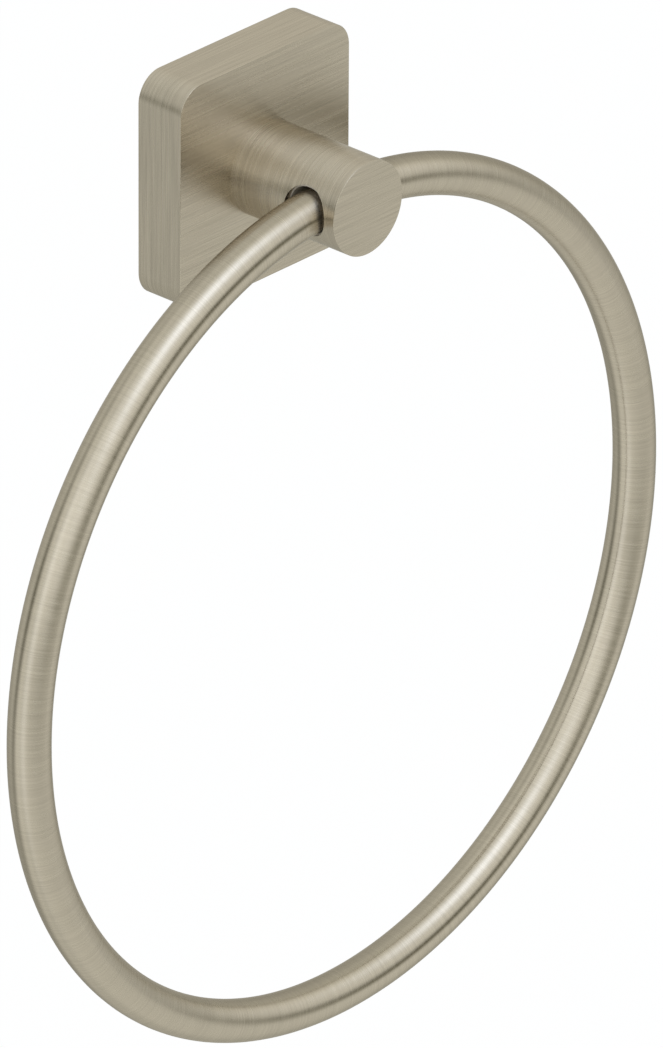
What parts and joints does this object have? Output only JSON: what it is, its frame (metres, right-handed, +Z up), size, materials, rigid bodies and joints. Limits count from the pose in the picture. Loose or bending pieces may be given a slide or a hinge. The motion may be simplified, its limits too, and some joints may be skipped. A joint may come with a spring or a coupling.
{
  "type": "towel ring",
  "caption": "Wall-mounted towel ring: a loose ring of round rod hangs through a post on a thick rounded-square plate, hooked on a hidden bracket and locked by a set screw.",
  "frame": {"origin": "centre of the plate on the wall plane, on the axis of the post", "axes": "+Y into the wall, so the post and ring stand out towards -Y; +Z up; +X to the right for someone facing the wall"},
  "size_m": [0.168, 0.0351, 0.1861],
  "materials": {
    "brushed_nickel": "warm satin nickel plating with fine brush lines",
    "acetal": "smooth warm grey",
    "screw_steel": "bright stainless steel",
    "zinc_plated_steel": "satin zinc plating"
  },
  "bodies": {
    "wall_assembly": {"escutcheon": "brushed_nickel", "post": "brushed_nickel", "ring_bush": "acetal", "post_screw": "screw_steel", "lock_washer": "screw_steel", "clamp_washer": "screw_steel", "wall_bracket": "zinc_plated_steel", "set_screw": "screw_steel"},
    "towel_ring": {"ring": "brushed_nickel"}
  },
  "joints": [
    {"name": "ring_swing", "type": "hinge", "parent": "wall_assembly", "child": "towel_ring", "pos_m": [0, -0.028, 0], "axis": [-1, 0, 0], "range_deg": [-8.5, 188.5]}
  ]
}
